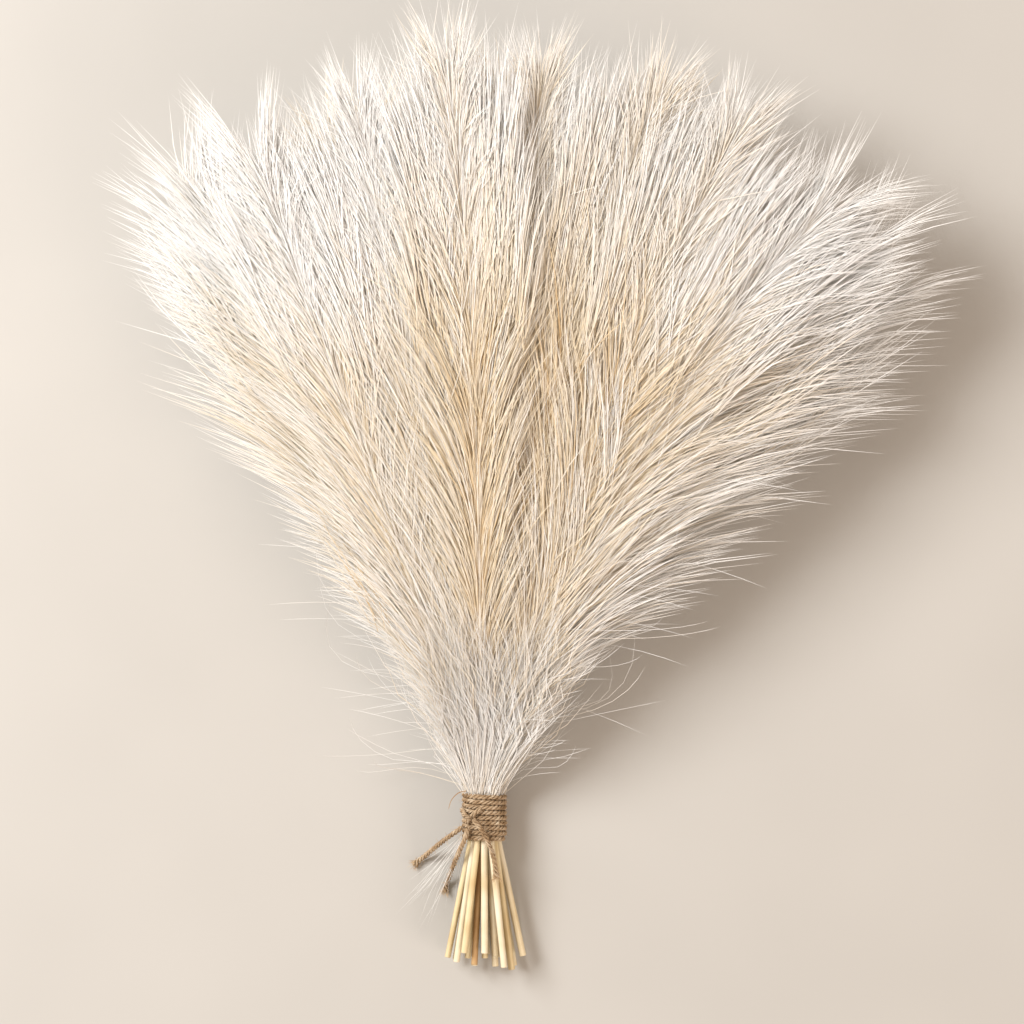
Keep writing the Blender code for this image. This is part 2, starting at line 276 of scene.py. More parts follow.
def needles(paths, radii, tints):
    """Closed three-sided needles, the last point of each path its tip.

    Each ring is centre + radius (side cos a + over sin a) for a = 270, 30 and 150 degrees,
    with side = heading x up, so a hair has a flat side up. A map place is (tint, share of
    the length), so a needle is one narrow strip of the map and its colour depends on
    nothing else.
    """
    count, rings = radii.shape
    heading = unit(paths[:, -1] - paths[:, 0])
    side = unit(np.cross(heading, UP) + 1e-9)
    over = np.cross(side, heading)
    angle = np.radians(RING_ANGLES)
    across = side[:, None] * np.cos(angle)[:, None] + over[:, None] * np.sin(angle)[:, None]
    corners = paths[:, :-1, None] + across[:, None] * radii[:, :, None, None]
    corners = np.concatenate([corners.reshape(count, -1, 3), paths[:, -1:]], axis=1)
    faces = [(0, 1, 2)]
    for ring in range(rings - 1):
        for k in range(3):
            a, b = 3 * ring + k, 3 * ring + (k + 1) % 3
            faces += [(a, a + 3, b + 3), (a, b + 3, b)]
    base, tip = 3 * (rings - 1), 3 * rings
    faces += [(base + k, tip, base + (k + 1) % 3) for k in range(3)]
    faces = np.array(faces)
    first = np.arange(count)[:, None, None] * (3 * rings + 1)
    triangles = (faces[None] + first).reshape(-1, 3)
    shift = np.array([0.0, -STRIP_HALF, STRIP_HALF])
    lift = np.array([STRIP_FOOT, 0.0, 0.0])
    share = np.linspace(0, STRIP_TOP, rings + 1)
    u = np.concatenate([np.tile(shift, rings), [0.0]])
    v = np.concatenate([(share[:-1, None] + lift).ravel(), [STRIP_TIP]])
    u = MAP_MARGIN + MAP_WIDTH * np.clip(tints, 0, 1)[:, None] + u[None]
    v = np.broadcast_to(v, u.shape)
    places = np.stack([u, v], -1)[:, faces.ravel()].reshape(-1, 2)
    return corners.reshape(-1, 3), triangles, places


# %% [markdown]
# ## Jute twine
#
# Jute is a bast fibre, spun into single plies that are twisted together. It is matt and
# tan, with paler fibres on top and dark grooves where the plies meet. The colour follows
# streaks a few tenths of a millimetre wide that run along each ply, and short fibres
# stand out of it all over.

# %% Jute finish
STREAK_SHARE, WORN_SHARE = 0.68, 0.34


def jute_finish(name):
    """Spun jute, rough: shade = 0.68 streaks + 0.34 worn patches, read on a ramp.

    Streaks run along the ply, 0.25 mm wide and some 6 mm long. Patches are 4 mm wide.
    """
    material, tree, shader = new_material(name, Roughness=0.88, Specular_IOR_Level=0.25)
    lay = add_node(tree, "UVMap", uv_map="lay")
    stretched = add_node(
        tree, "Mapping", {"Vector": lay.outputs["UV"], "Scale": (4000, 170, 1)}
    )
    streaks = add_node(
        tree,
        "TexNoise",
        {"Vector": stretched.outputs["Vector"], "Scale": 1.0, "Detail": 3.0, "Roughness": 0.7},
    )
    place = add_node(tree, "TexCoord")
    worn = add_node(
        tree, "TexNoise", {"Vector": place.outputs["Object"], "Scale": 260.0, "Detail": 2.0}
    )
    mixed = add_node(
        tree,
        "Math",
        {0: streaks.outputs["Fac"], 1: STREAK_SHARE, 2: 0.0},
        operation="MULTIPLY_ADD",
    )
    both = add_node(
        tree,
        "Math",
        {0: worn.outputs["Fac"], 1: WORN_SHARE, 2: mixed.outputs[0]},
        operation="MULTIPLY_ADD",
    )
    ramp = add_node(tree, "ValToRGB", {"Fac": both.outputs[0]})
    set_stops(ramp, [(0.34, "#5C442E"), (0.44, "#957A5B"), (0.53, "#BBA283"), (0.66, "#EADFC9")])
    bump = add_node(
        tree, "Bump", {"Height": streaks.outputs["Fac"], "Strength": 0.6, "Distance": 0.0002}
    )
    tree.links.new(ramp.outputs["Color"], shader.inputs["Base Color"])
    tree.links.new(bump.outputs["Normal"], shader.inputs["Normal"])
    return material


jute = jute_finish("spun_jute")

# %% [markdown]
# A strand of twine is three plies that wind round one another. Each ply is a tube whose
# centre circles the strand's path, so the grooves between plies are real geometry.

# %% Three-ply strand
TWINE_RADIUS = 1.2 * MM
PLY_RADIUS = 0.54 * MM
PLY_OFFSET = 0.71 * MM
LAY = 6.6 * MM
PLY_SIDES = 7
RING_STEP = 0.75 * MM
FRAYED = 6 * MM
LOWEST_PLY = 1.1 * PLY_RADIUS
PLY_WAVERS = 24
PLY_WAVER = (0.9, 1.08)
CUT_PLY = 0.5


def strand(points, reference, rng, splay=0.0):
    """Three plies along a path: ply centre = path + offset (side cos a + over sin a).

    a = 2 pi s / lay + a third of a turn for each ply. The radius wavers by a few percent,
    as hand-spun yarn does, and halves at the two ends. Over the last 6 mm the offset grows
    by splay x share^1.5, where a cut end comes apart. No ply sinks into the table.
    """
    path = path_of(points)
    length = path[1][-1]
    s = np.linspace(0, length, int(length / RING_STEP) + 1)
    at, _, side, over = read_path(path, s, reference)
    fray = np.clip((s - length + FRAYED) / FRAYED, 0, 1) ** 1.5
    offset = (PLY_OFFSET * (1 + splay * fray))[:, None]
    made = []
    for ply in range(3):
        angle = 2 * np.pi * (s / LAY + ply / 3)[:, None]
        centre = at + offset * (side * np.cos(angle) + over * np.sin(angle))
        centre[:, 2] = np.maximum(centre[:, 2], LOWEST_PLY)
        wavers = rng.uniform(*PLY_WAVER, PLY_WAVERS)
        radii = PLY_RADIUS * np.interp(s, np.linspace(0, length, PLY_WAVERS), wavers)
        radii[[0, -1]] *= CUT_PLY
        along = unit(np.gradient(centre, s, axis=0))
        ply_side = unit(np.cross(along, reference))
        made.append(tube(centre, ply_side, np.cross(ply_side, along), radii, PLY_SIDES, s))
    return join(made)


# %% [markdown]
# ## The three loose ends
#
# The knot leaves three short ends. Each is a cord of its real length: two droop to the
# table, and one lies over the stems. Their routes are the same as the CAD model's, a
# smooth curve through a few chosen points. They are made first, with the camera, because
# their reach decides whether the view holds them. Their points are in millimetres from
# the spot on the table under the binding's middle.

# %% Loose ends
TAIL_SPLAY = 1.1
TAILS = {
    "left": (
        (-10.1, -4.8, 19.5),
        (-13.6, -7.4, 18.0),
        (-17.4, -10.3, 15.2),
        (-21.0, -13.4, 11.2),
        (-24.4, -16.4, 7.0),
        (-27.6, -19.2, 3.6),
        (-30.6, -21.8, 1.7),
        (-33.6, -24.3, 1.3),
    ),
    "down": (
        (-7.7, -5.0, 22.7),
        (-9.2, -10.5, 21.6),
        (-11.4, -15.5, 19.0),
        (-13.4, -20.5, 14.6),
        (-15.2, -25.5, 9.3),
        (-16.8, -30.0, 4.5),
        (-18.0, -33.6, 1.8),
        (-18.9, -37.0, 1.3),
    ),
    "right": (
        (-5.3, -0.7, 25.6),
        (-2.2, -4.3, 25.6),
        (0.4, -8.6, 25.0),
        (2.6, -13.4, 23.2),
        (4.3, -18.6, 21.3),
        (5.2, -23.6, 20.8),
        (5.6, -28.8, 20.8),
    ),
}


def smooth_route(route, pieces=8):
    """Points on a Catmull-Rom curve, which passes through every point of the route.

    Between b and c, with a before and d after them, it is
    b + ((3 (b - c) + d - a) t^3 + (2 a - 5 b + 4 c - d) t^2 + (c - a) t) / 2.
    """
    ends = np.concatenate([[2 * route[0] - route[1]], route, [2 * route[-1] - route[-2]]])
    a, b, c, d = (ends[k : len(ends) - 3 + k, None] for k in range(4))
    t = np.arange(1, pieces + 1)[None, :, None] / pieces
    cubic = (3 * (b - c) + d - a) * t**3 + (2 * a - 5 * b + 4 * c - d) * t**2
    return np.concatenate([route[:1], (b + 0.5 * (cubic + (c - a) * t)).reshape(-1, 3)])


twine_rng = np.random.default_rng(5)
tail_paths = {}
for name, route in TAILS.items():
    points = smooth_route(np.array(route) * MM + on_table)
    tail_paths[name] = points
    reference = unit(np.cross(points[-1] - points[0], UP))
    surface = strand(points, reference, twine_rng, TAIL_SPLAY)
    tail = put_mesh("jute_end_" + name, surface, [jute], "lay")
    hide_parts("twine_tail_" + name)

# %% [markdown]
# ## The binding and the knot
#
# The binding is one strand wound as a helix, turn beside turn, tight on the stems. It
# starts underneath, and its turns waver a little, because it is wound by hand. The knot
# is two short strands that cross on top of it, where the ends come out. Their points are
# degrees round the binding from its top, then millimetres along it and above the turns.

# %% Binding and knot
TWINE_PITCH = 2.42 * MM
TWINE_TURNS = 8.7
BINDING_HALF = TWINE_TURNS * TWINE_PITCH / 2 + TWINE_RADIUS
WRAP_RADIUS = 9.5 * MM
WRAP_STEPS = 40
WRAP_STARTS_AT = 0.5
WANDER = 0.12
KNOT_LEVEL = WRAP_RADIUS + 2 * TWINE_RADIUS
KNOT_STRANDS = (
    ((-66, 3.4, -0.2), (-56, 2.4, 0.3), (-44, 1.2, 1.5), (-33, 0.2, 2.3), (-27, -1.0, 1.4)),
    ((-8, 3.8, -0.6), (-14, 3.2, 0.1), (-24, 1.3, 0.6), (-35, -0.9, 0.4), (-45, -2.9, 0.2)),
)


def round_binding(angle, y, radius):
    """A place round the binding: an angle from its top, a place along it, a radius."""
    across, rise = radius * np.sin(angle), tie[2] + radius * np.cos(angle)
    return on_table + np.stack([across, y + 0 * angle, rise], axis=-1)


turns = np.linspace(0, TWINE_TURNS, int(TWINE_TURNS * WRAP_STEPS) + 1)
whole_turns = np.arange(int(TWINE_TURNS) + 1)
offsets = twine_rng.uniform(-WANDER, WANDER, len(whole_turns))
wander = np.interp(turns, whole_turns, offsets) * MM
wrap_y = BINDING_HALF - TWINE_RADIUS - TWINE_PITCH * turns + wander
wrap_path = round_binding(2 * np.pi * (turns + WRAP_STARTS_AT), wrap_y, WRAP_RADIUS)
along_stems = np.array([0.0, 1.0, 0.0])
wrap = put_mesh("jute_wrap", strand(wrap_path, along_stems, twine_rng), [jute], "lay")
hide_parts("twine_binding")

knot_parts = []
for course in KNOT_STRANDS:
    degrees, y, lift = np.array(course).T
    route = round_binding(np.radians(degrees), y * MM, KNOT_LEVEL + lift * MM)
    knot_parts.append(strand(smooth_route(route, 5), along_stems, twine_rng))
knot = put_mesh("jute_knot", join(knot_parts), [jute], "lay")
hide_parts("twine_knot")
print("twine round the stems:", round(path_of(wrap_path)[1][-1] * 1000), "mm")

# %% [markdown]
# ## The fan of stalks
#
# Each stalk starts from its seat in a hexagon of stems and leaves the binding at its own
# heading, which goes on turning along it. Three layers lie one on another. A place on a
# stalk is read with np.interp from its walk, so that thousands of hairs are bent with it
# at once.

# %% Seats, headings and heights
STEM_RADIUS = 1.45 * MM
STEM_PITCH = 3.2 * MM
ROW_COUNTS = (3, 4, 5, 4, 3)
ROW_RISE = STEM_PITCH * np.sin(np.radians(60))
FAN_LENGTH = 370 * MM
FAN_RAMP = 34 * MM
ROW_MERGE = 78 * MM
WALK_STEP = 2 * MM
WALK_LENGTH = 1.25 * FAN_LENGTH
LAYER_ROWS = {"under": (0, 1), "middle": (2,), "upper": (3, 4)}
LAYER_HEIGHT = {"under": 18 * MM, "middle": 42 * MM, "upper": 66 * MM}
OUTER_PLUME_START = 9 * MM
INNER_PLUME_START = 34 * MM
LAYER_EASE, LAYER_RAMP = 15 * MM, 70 * MM
LIFT_RAMP = 120 * MM
HIDDEN_STALKS = ("under_3", "under_4", "under_5")
# Each stalk's heading in degrees right of +Y, how much more it curls, and its reach in mm.
FAN = {
    "under": (
        (-27, -4, 300),
        (-19, -2, 300),
        (-9.5, 0, 318),
        (0.5, 0, 322),
        (10.5, 4, 320),
        (21, 10, 316),
        (35, 20, 292),
    ),
    "middle": (
        (-24.5, -2, 298),
        (-13.5, 0, 312),
        (1.5, 0, 322),
        (13.5, 8, 318),
        (29.5, 24, 306),
    ),
    "upper": (
        (-19.5, -1, 302),
        (-9.5, -3, 318),
        (0, -10, 335),
        (4.5, 1, 330),
        (10, 16, 332),
        (17.5, 14, 328),
        (22.5, 34, 312),
    ),
}
# How far each plume stands above its layer in mm, how much paler its hair is, and how
# wide it opens next to a usual plume. Paler is partly the plume's own tone and partly
# painted light and shade: the outermost plumes, above all on the right where the lamp
# leaves them in shade, are painted paler, and those in the middle of the fan are painted
# darker, as shade between plumes.
LIFT = {
    "under": (4, 0, 0, 0, 0, 6, 26),
    "middle": (6, 8, 9, 8, 20),
    "upper": (4, 5, 8, 1, 3, 6, 6),
}
PALER_WITH_PAINTED_LIGHT = {
    "under": (0.24, 0.08, -0.05, -0.05, -0.05, 0.2, 0.36),
    "middle": (0.18, -0.06, -0.14, -0.1, 0.28),
    "upper": (0.16, 0.14, -0.06, -0.14, -0.16, -0.06, 0.14),
}
SPREAD = {
    "under": (1.15, 1.0, 1.0, 1.0, 1.0, 1.05, 1.12),
    "middle": (1.05, 0.9, 0.9, 0.9, 1.05),
    "upper": (0.95, 0.62, 0.95, 0.75, 0.85, 0.9, 1.05),
}


def smooth(x):
    """0 below 0, 1 above 1, and x^2 (3 - 2x) between."""
    x = np.clip(x, 0, 1)
    return x * x * (3 - 2 * x)


def row_height(row):
    """The height of a row of stems in the binding."""
    return tie[2] + (row - (len(ROW_COUNTS) - 1) / 2) * ROW_RISE


class Stalk:
    """One stalk's seat in the binding, its habit, and its walk through the fan as arrays."""

    def __init__(self, layer, number, side, rise, heading, curl, reach, outer):
        self.layer, self.name, self.outer = layer, f"{layer}_{number}", outer
        self.hidden = self.name in HIDDEN_STALKS
        self.side, self.rise, self.reach = side, rise, reach * MM
        self.heading, self.curl = np.radians(heading), np.radians(curl)
        self.start = OUTER_PLUME_START if outer else INNER_PLUME_START
        self.lift = LIFT[layer][number - 1] * MM
        # paler carries painted light and shade as well as the plume's own tone.
        self.paler, self.spread = PALER_WITH_PAINTED_LIGHT[layer][number - 1], SPREAD[layer][number - 1]
        self.s = np.arange(0, WALK_LENGTH, WALK_STEP)
        turn = self.turn(self.s[:-1] + WALK_STEP / 2)
        self.x = side + np.concatenate([[0], np.cumsum(WALK_STEP * np.sin(turn))])
        self.y = BINDING_HALF + np.concatenate([[0], np.cumsum(WALK_STEP * np.cos(turn))])

    def turn(self, s):
        """Heading + curl (s / fan length)^2, eased in over the first centimetres."""
        return (self.heading + self.curl * (s / FAN_LENGTH) ** 2) * smooth(s / FAN_RAMP)

    def height(self, s):
        """seat + (layer - seat) (1 - exp(-s^2 / (s + 15 mm) / 70 mm)) + row + lift.

        seat is the mean height of the layer's rows. The stalk's own row eases away over
        78 mm, and the plume's own lift is added over its first 12 cm.
        """
        seat = np.mean([row_height(row) for row in LAYER_ROWS[self.layer]])
        ramp = 1 - np.exp(-s * s / (s + LAYER_EASE) / LAYER_RAMP)
        row = (self.rise - seat) * (1 - smooth(s / ROW_MERGE))
        lift = self.lift * smooth(s / LIFT_RAMP)
        return seat + (LAYER_HEIGHT[self.layer] - seat) * ramp + row + lift

    def place(self, s, across=0.0, up=0.0):
        """Points beside the stalk: across it in plan and above it, bent along with it."""
        turn = self.turn(s)
        x = np.interp(s, self.s, self.x) + across * np.cos(turn)
        y = np.interp(s, self.s, self.y) + np.minimum(s, 0) - across * np.sin(turn)
        return on_table + np.stack([x, y, self.height(s) + up], axis=-1)


stalks = []
for layer, rows in LAYER_ROWS.items():
    seats = sorted(
        ((k - (ROW_COUNTS[row] - 1) / 2) * STEM_PITCH, row_height(row))
        for row in rows
        for k in range(ROW_COUNTS[row])
    )
    for n, (seat, course) in enumerate(zip(seats, FAN[layer])):
        outer = n in (0, len(seats) - 1)
        stalks.append(Stalk(layer, n + 1, *seat, *course, outer))
print("stalks:", len(stalks), "longest rachis:", round(max(st.reach for st in stalks), 3), "m")

# %% [markdown]
# ## Straw stems
#
# A dried culm is a smooth, slightly glossy straw, ivory to gold, with faint streaks along
# it. Cut across, it shows a pale rim round a duller pith. Its colour varies from stalk to
# stalk, so each stem is ivory or golden by chance, and one old stalk is brown.

# %% Straw finish
PATCH_SHARE, GRAIN_SHARE = 0.55, 0.45


def straw_finish(name, dark, body, light):
    """Dried culm under a waxy skin: shade = 0.55 patches + 0.45 streaks, read on a ramp.

    Patches are some 2 cm wide, and streaks 0.6 mm wide and 33 mm long.
    """
    material, tree, shader = new_material(
        name, Roughness=0.42, Specular_IOR_Level=0.45, Coat_Weight=0.12, Coat_Roughness=0.35
    )
    grain = add_node(tree, "UVMap", uv_map="grain")
    stretched = add_node(
        tree, "Mapping", {"Vector": grain.outputs["UV"], "Scale": (1600, 30, 1)}
    )
    streaks = add_node(
        tree,
        "TexNoise",
        {"Vector": stretched.outputs["Vector"], "Scale": 1.0, "Detail": 4.0, "Roughness": 0.6},
    )
    place = add_node(tree, "TexCoord")
    patches = add_node(
        tree, "TexNoise", {"Vector": place.outputs["Object"], "Scale": 55.0, "Detail": 2.0}
    )
    half = add_node(
        tree,
        "Math",
        {0: patches.outputs["Fac"], 1: PATCH_SHARE, 2: 0.0},
        operation="MULTIPLY_ADD",
    )
    both = add_node(
        tree,
        "Math",
        {0: streaks.outputs["Fac"], 1: GRAIN_SHARE, 2: half.outputs[0]},
        operation="MULTIPLY_ADD",
    )
    ramp = add_node(tree, "ValToRGB", {"Fac": both.outputs[0]})
    set_stops(ramp, [(0.34, dark), (0.5, body), (0.66, light)])
    bump = add_node(
        tree, "Bump", {"Height": streaks.outputs["Fac"], "Strength": 0.25, "Distance": 0.0002}
    )
    tree.links.new(ramp.outputs["Color"], shader.inputs["Base Color"])
    tree.links.new(bump.outputs["Normal"], shader.inputs["Normal"])
    return material


def pith_finish():
    """The cut face: dull, porous pith, in cells a third of a millimetre wide."""
    material, tree, shader = new_material("cut_pith", Roughness=0.8, Specular_IOR_Level=0.2)
    place = add_node(tree, "TexCoord")
    cells = add_node(
        tree, "TexVoronoi", {"Vector": place.outputs["Object"], "Scale": 3000.0}
    )
    ramp = add_node(tree, "ValToRGB", {"Fac": cells.outputs["Distance"]})
    set_stops(ramp, [(0.0, "#B08F5C"), (0.8, "#E4CFA0")])
    tree.links.new(ramp.outputs["Color"], shader.inputs["Base Color"])
    return material


straws = {
    "ivory": straw_finish("ivory_straw", "#DCC79C", "#F0E4C6", "#F9F3E0"),
    "straw": straw_finish("golden_straw", "#D2B681", "#E9D7AC", "#F5EACC"),
    "brown": straw_finish("brown_straw", "#A9814F", "#C39D6C", "#D8BA8C"),
}
pith = pith_finish()

# %% [markdown]
# A stem runs from its cut end to its plume. Its path is nearly the CAD stem's: it lies
# flat for a little by its end, runs straight up to the binding, and follows the fan above
# it. At the cut end the pith is sunk into the stem, inside a rounded rim.

# %% Stems
SIDE_SPLAY, UPWARD_SPLAY, FLAT_REST = 2.65, 1.45, 14 * MM
STEM_SIDES = 16
STEM_STEP = 5 * MM
STEM_SHORT = 0.45 * MM
OUTER_STEPS, INNER_STEPS = 2, 4
BROWN_STEM = "upper_3"
END_LEVEL = 1.16 * STEM_RADIUS
END_LONGER = (0.4, 3.2)
END_ASIDE = (-1.5, 1.5)
THICKNESS = (0.98, 1.14)
WAVERS, WAVER = 7, 0.035
PITH_DEPTH = 0.5 * MM
RIM_DEPTH = 0.18 * MM
# The cut end's rings in stem radii, from the pith's middle, over the rim, to the skin.
END_RADII = (0.02, 0.5, 0.6, 0.93, 1.0)
PITH_BANDS = 3


def stem_path(stalk, rng):
    """The CAD stem's corners: its end, the end of its flat rest, the binding, the fan.

    The end strays by a millimetre or two, so that the lower stems show between the upper.
    """
    end_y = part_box("stem_" + stalk.name)[0][1] - tie[1] - rng.uniform(*END_LONGER) * MM
    end_z = END_LEVEL + (stalk.rise - row_height(0)) * UPWARD_SPLAY
    end_x = stalk.side * SIDE_SPLAY + rng.uniform(*END_ASIDE) * MM
    end = on_table + np.array([end_x, end_y, end_z])
    low = on_table + np.array([stalk.side, -BINDING_HALF, stalk.rise])
    high = on_table + np.array([stalk.side, BINDING_HALF, stalk.rise])
    flat = end + (low - end) * FLAT_REST / np.linalg.norm(low - end)
    flat[2] = end_z
    top = stalk.start - STEM_SHORT
    steps = OUTER_STEPS if stalk.outer else INNER_STEPS
    above = stalk.place(top * (np.arange(steps) + 1) / steps)
    return np.concatenate([[end, flat, low, high], above])


def culm(stalk, rng):
    """A culm's surface, and which faces are pith: rings at s with radius r (1 + waver)."""
    path = path_of(stem_path(stalk, rng))
    length = path[1][-1]
    body = np.linspace(PITH_DEPTH, length, int(length / STEM_STEP) + 2)
    thick = STEM_RADIUS * rng.uniform(*THICKNESS)
    wavers = rng.uniform(-WAVER, WAVER, WAVERS)
    waver = np.interp(body, np.linspace(0, length, WAVERS), wavers)
    s = np.concatenate([[PITH_DEPTH, PITH_DEPTH, 0, 0, RIM_DEPTH], body])
    radii = np.concatenate([END_RADII, 1 + waver]) * thick
    at, _, side, over = read_path(path, s, UP)
    surface = tube(at, side, over, radii, STEM_SIDES, s)
    is_pith = np.zeros(len(surface[1]), bool)
    wall = (len(s) - 1) * STEM_SIDES
    for first in (0, wall):
        is_pith[first : first + PITH_BANDS * STEM_SIDES] = True
    is_pith[2 * wall : 2 * wall + STEM_SIDES] = True
    return surface, is_pith


stem_rng = np.random.default_rng(3)
for stalk in stalks:
    surface, is_pith = culm(stalk, stem_rng)
    tint = "brown" if stalk.name == BROWN_STEM else stem_rng.choice(["ivory", "straw"])
    stem = put_mesh(
        "straw_stem_" + stalk.name, surface, [straws[tint], pith], "grain", is_pith
    )
    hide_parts("stem_" + stalk.name)
print("stems:", len(stalks), "of about", round(STEM_RADIUS * 2000, 1), "mm")

# %% [markdown]
# ## Plume hair
#
# A plume is a feather of long silky hairs. One hair is nearly white at its tip and
# creamy at its foot, and the hairs deep in a plume are golden, because the light that
# reaches them has passed others. That golden is painted shade, set in their tints. Each
# hair carries its tint and its length on the map, so the finish needs nothing but the map.

# %% Hair finish
MOTTLE = 0.16


def hair_finish(name, stops, tip_gain):
    """Dry silky hair: level = tint + tip gain x share of the length + 0.16 noise - 0.08.

    The level is read on a ramp of real shades.
    """
    material, tree, shader = new_material(name, Roughness=0.55, Specular_IOR_Level=0.3)
    chart = add_node(tree, "UVMap", uv_map="OFBake")
    parts = add_node(tree, "SeparateXYZ", {"Vector": chart.outputs["UV"]})
    mottled = add_node(
        tree, "Mapping", {"Vector": chart.outputs["UV"], "Scale": (40.0, 9.0, 1.0)}
    )
    noise = add_node(
        tree, "TexNoise", {"Vector": mottled.outputs["Vector"], "Scale": 1.0, "Detail": 2.0}
    )
    gain = add_node(
        tree,
        "Math",
        {0: parts.outputs["Y"], 1: tip_gain, 2: parts.outputs["X"]},
        operation="MULTIPLY_ADD",
    )
    spread = add_node(
        tree,
        "Math",
        {0: noise.outputs["Fac"], 1: MOTTLE, 2: gain.outputs[0]},
        operation="MULTIPLY_ADD",
    )
    level = add_node(tree, "Math", {0: spread.outputs[0], 1: MOTTLE / 2}, operation="SUBTRACT")
    ramp = add_node(tree, "ValToRGB", {"Fac": level.outputs[0]})
    set_stops(ramp, stops)
    tree.links.new(ramp.outputs["Color"], shader.inputs["Base Color"])
    return material


HAIR_SHADES = [
    (0.0, "#BE9763"),
    (0.25, "#DBBE90"),
    (0.5, "#EBDBBD"),
    (0.75, "#F4EDE0"),
    (1.0, "#F8F9F8"),
]
silk = hair_finish("silky_plume_hair", HAIR_SHADES, 0.4)
jute_fibre = hair_finish(
    "loose_jute_fibre", [(0.0, "#8A6943"), (0.5, "#B8946A"), (1.0, "#DCC5A0")], 0.3
)

# %% [markdown]
# ## Hairs on a stalk
#
# A plume's hairs grow in locks, the side branches of the panicle, all along the rachis
# and round it, and lean towards the tip. All hairs of one kind are worked out together:
# arrays say where each starts, how long it is and how it leans, and one function bends
# them with their stalk.

# %% Laying hairs on a stalk
FLATTENED = 0.45
BOW_RISE = 0.3
SAG = 3 * MM
SAG_REACH = 45 * MM
TABLE_GAP = 0.4 * MM
BESIDE_RACHIS = 0.8 * MM
RACHIS_SHORT = 12 * MM
HAIR_FOOT, HAIR_BODY = 0.85, 1.0
BEND = (0, 0.55, 1)
FINE_BEND = (0, 0.3, 0.65, 1)
LONG_BEND = (0, 0.15, 0.3, 0.45, 0.6, 0.75, 0.88, 1)
# Hair is paler over the first 90 mm, and towards the tips from 170 mm on. Towards the
# tips, plumes that others cover pale less, so they keep a painted shade.
FOOT_PALER, FOOT_FADE = 0.14, 90 * MM
OPEN_TIP_PALER, SHADED_TIP_PALER = 0.32, 0.08
TIP_PALE_FROM, TIP_FADE = 170 * MM, 110 * MM


def lay_hairs(stalk, foot, length, d, angle, side, bow, thick, tints, t, sag=0.0, aside=None):
    """Hairs on a stalk: along = foot + L t cos d, out = aside + L sin d (0.6 t + 0.4 t^2).

    aside is where a hair starts beside the rachis, 0.8 mm if nothing else is given. out is
    split by the hair's angle round the rachis into across (cos) and up (sin). A bow of
    4 b L t (1 - t) bends the hair across, and a little up. Up is flattened, because the
    bundle lies pressed on a table, and falls by sag (out / 45 mm)^2, because a hair droops.
    """
    aside = np.full(len(foot), BESIDE_RACHIS) if aside is None else aside
    foot, length, d, angle, side, bow, aside = (
        values[:, None] for values in (foot, length, d, angle, side, bow, aside)
    )
    t = np.array(t)[None, :]
    along = foot + length * t * np.cos(d)
    out = aside + length * np.sin(d) * (0.6 * t + 0.4 * t * t)
    bend = bow * length * 4 * t * (1 - t)
    across = side * out * np.cos(angle) + bend * np.cos(d)
    up = out * np.sin(angle) * FLATTENED + BOW_RISE * bend - sag * (out / SAG_REACH) ** 2
    paths = stalk.place(along, across, up)
    paths[..., 2] = np.maximum(paths[..., 2], TABLE_GAP)
    widths = np.linspace(HAIR_FOOT, HAIR_BODY, t.shape[1] - 1)[None, :]
    return needles(paths, widths * thick[:, None], tints)


def tone(stalk, foot):
    """How much paler hair is by the binding and by the tips than half way up. Plumes under
    others pale less at the tips, which is painted shade.
    """
    open_to_light = stalk.outer or stalk.layer == "upper"
    gain = OPEN_TIP_PALER if open_to_light else SHADED_TIP_PALER
    by_binding = FOOT_PALER * (1 - smooth(foot / FOOT_FADE))
    return by_binding + gain * smooth((foot - TIP_PALE_FROM) / TIP_FADE)


# %% [markdown]
# ## The two sides of a feather
#
# Locks are short by the binding, full half way up, and short and steep again at the tip.
# A plume at the edge of the fan fills out later and tapers less. The plumes in the middle
# of the lowest layer are hidden, so they have fewer hairs.

# %% Sides of the feather
HAIR_LENGTH = 90 * MM
DIVERGENCE = np.radians(29)
VANE_START, LOWEST_FOOT = 2 * MM, 0.5 * MM
HIDDEN_LOCKS, HIDDEN_HAIRS = 0.6, 0.7
# Where locks reach their full length, how much they taper, and how far short of the
# rachis's stop they end.
OUTER_VANE = (180 * MM, 0.32, 0.4)
INNER_VANE = (140 * MM, 0.48, 1)
YOUNG_LENGTH, GROWTH = 0.32, 0.68
TAPER_FROM, TAPER_SPAN = 0.6, 0.4
FOOT_OPENING, OPENS_BY, OPEN_AT = 0.62, 0.38, 95 * MM
CLOSES_BY, CLOSE_FROM, CLOSE_SPAN = 0.26, 0.74, 0.26
LOCK_LENGTH, LOCK_OPENING = (0.85, 1.12), (0.85, 1.15)
LOCK_TINT, HAIR_TINT, PAINTED_TOP_LIGHT = 0.07, 0.09, 0.10
LOCK_STRETCH = 1.8
SHORTER_HAIRS = (0.6, 1.06)
ASTRAY = 0.07
ASTRAY_LEAN, USUAL_LEAN, ASTRAY_RISE = 9, 3, 0.5
ROUND_SCATTER = np.radians(12)
VANE_BOW = 0.022
THICK_VARIES = (0.75, 1.2)


